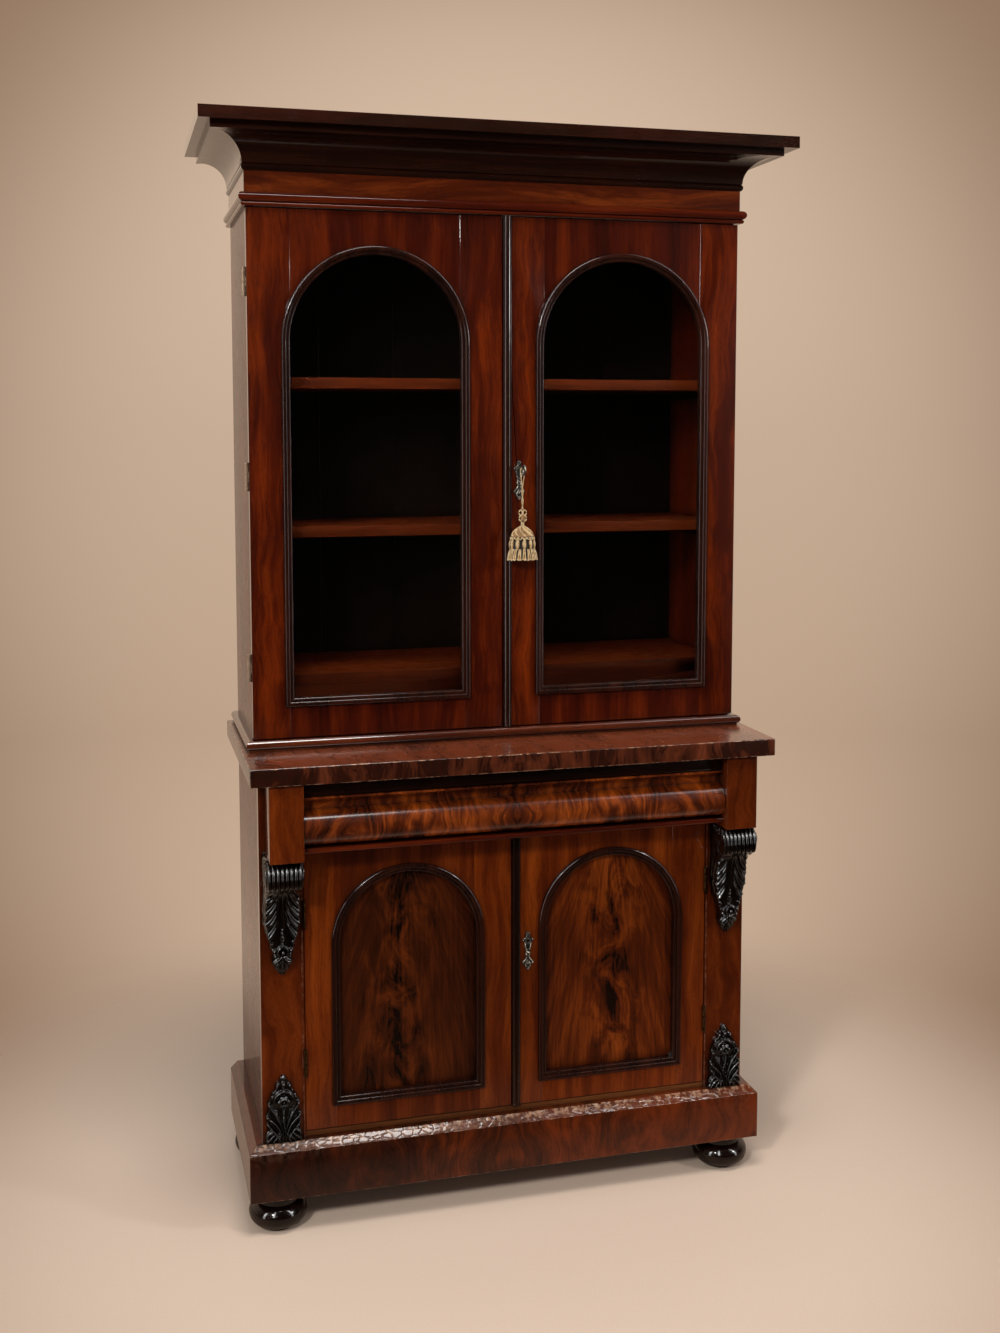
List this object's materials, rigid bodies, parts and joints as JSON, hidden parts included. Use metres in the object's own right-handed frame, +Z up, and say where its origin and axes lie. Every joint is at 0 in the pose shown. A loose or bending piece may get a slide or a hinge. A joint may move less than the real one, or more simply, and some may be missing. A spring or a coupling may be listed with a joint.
{
  "type": "glazed bookcase with cupboard base",
  "caption": "Victorian bookcase: arched glass doors over a frieze drawer and arched panelled cupboard doors, with carved corbels, bun feet and a coved cornice.",
  "frame": {"origin": "on the floor, in the middle of the outline seen from above", "axes": "+Z up, the front faces -Y, +X to the viewer's right"},
  "size_m": [1.3, 0.528, 2.35],
  "materials": {
    "mahogany": "french polish, glossy",
    "flame_mahogany": "french polish, glossy, figured veneer",
    "ebonised_mahogany": "french polish, glossy, darkened in the carving",
    "plain_mahogany": "oiled, dull",
    "window_glass": "clear, slightly wavy",
    "hinge_brass": "aged, satin",
    "lock_brass": "brushed",
    "bronze": "aged, worn bright on its edges",
    "key_steel": "worn",
    "silk": "silky thread"
  },
  "bodies": {
    "root": {"astragal": "mahogany", "base_back_boards": "plain_mahogany", "base_carvings": "ebonised_mahogany", "base_floor": "plain_mahogany", "base_sides": "mahogany", "bookshelves": "mahogany", "bracket_blocks": "mahogany", "bun_feet": "ebonised_mahogany", "corbels": "ebonised_mahogany", "cornice_top_board": "mahogany", "cove": "mahogany", "cupboard_shelf": "plain_mahogany", "drawer_rail": "mahogany", "drawer_runners": "plain_mahogany", "frame_hinge_leaves": "hinge_brass", "frieze": "flame_mahogany", "pilasters": "mahogany", "plinth_front": "flame_mahogany", "plinth_returns": "mahogany", "rail_under_slab": "flame_mahogany", "shelf_bearers": "plain_mahogany", "upper_back_boards": "plain_mahogany", "upper_floor_and_fascia": "mahogany", "upper_sides": "mahogany", "upper_top_board": "mahogany", "waist_moulding": "mahogany", "waist_slab": "mahogany"},
    "upper_left_door": {"upper_left_door_glass": "window_glass", "upper_left_door_hinge_leaves": "hinge_brass", "upper_left_door_moulding": "ebonised_mahogany", "upper_left_door_rails": "mahogany", "upper_left_door_stiles": "mahogany"},
    "upper_right_door": {"upper_centre_bead": "mahogany", "upper_escutcheon": "bronze", "upper_lock": "lock_brass", "upper_right_door_glass": "window_glass", "upper_right_door_hinge_leaves": "hinge_brass", "upper_right_door_moulding": "ebonised_mahogany", "upper_right_door_rails": "mahogany", "upper_right_door_stiles": "mahogany"},
    "lower_left_door": {"lower_left_door_hinge_leaves": "hinge_brass", "lower_left_door_moulding": "ebonised_mahogany", "lower_left_door_panel": "flame_mahogany", "lower_left_door_rails": "mahogany", "lower_left_door_stiles": "mahogany"},
    "lower_right_door": {"lower_centre_bead": "mahogany", "lower_escutcheon": "bronze", "lower_lock": "lock_brass", "lower_right_door_hinge_leaves": "hinge_brass", "lower_right_door_moulding": "ebonised_mahogany", "lower_right_door_panel": "flame_mahogany", "lower_right_door_rails": "mahogany", "lower_right_door_stiles": "mahogany"},
    "drawer": {"drawer_bottom": "plain_mahogany", "drawer_front": "flame_mahogany", "drawer_sides_and_back": "plain_mahogany"},
    "key": {"key": "key_steel"},
    "upper_lock_bolt": {"upper_lock_bolt": "lock_brass"},
    "tassel": {"tassel": "silk", "tassel_cord": "silk"}
  },
  "joints": [
    {"name": "upper_left_door_swing", "type": "hinge", "parent": "root", "child": "upper_left_door", "pos_m": [-0.5545, -0.06375, 1.6], "axis": [0, 0, -1], "range_deg": [0, 120]},
    {"name": "upper_right_door_swing", "type": "hinge", "parent": "root", "child": "upper_right_door", "pos_m": [0.5545, -0.06375, 1.6], "axis": [0, 0, 1], "range_deg": [0, 120]},
    {"name": "lower_left_door_swing", "type": "hinge", "parent": "root", "child": "lower_left_door", "pos_m": [-0.45725, -0.1617, 0.525], "axis": [0, 0, -1], "range_deg": [0, 90]},
    {"name": "lower_right_door_swing", "type": "hinge", "parent": "root", "child": "lower_right_door", "pos_m": [0.45725, -0.1617, 0.525], "axis": [0, 0, 1], "range_deg": [0, 90]},
    {"name": "drawer_slide", "type": "slide", "parent": "root", "child": "drawer", "axis": [0, -1, 0], "range_m": [0, 0.3]},
    {"name": "key_turn", "type": "hinge", "parent": "upper_right_door", "child": "key", "pos_m": [0.037, -0.114, 1.622], "axis": [0, -1, 0], "range_deg": [0, 180]},
    {"name": "upper_lock_bolt_slide", "type": "slide", "parent": "upper_right_door", "child": "upper_lock_bolt", "axis": [-1, 0, 0], "range_m": [0, 0.008]},
    {"name": "tassel_swing", "type": "hinge", "parent": "upper_right_door", "child": "tassel", "pos_m": [0.037, -0.114, 1.622], "axis": [0, 1, 0], "range_deg": [-30, 30]}
  ],
  "couplings": [
    {"joint": "upper_lock_bolt_slide", "follows": "key_turn", "m_per_rad": 0.002546}
  ]
}
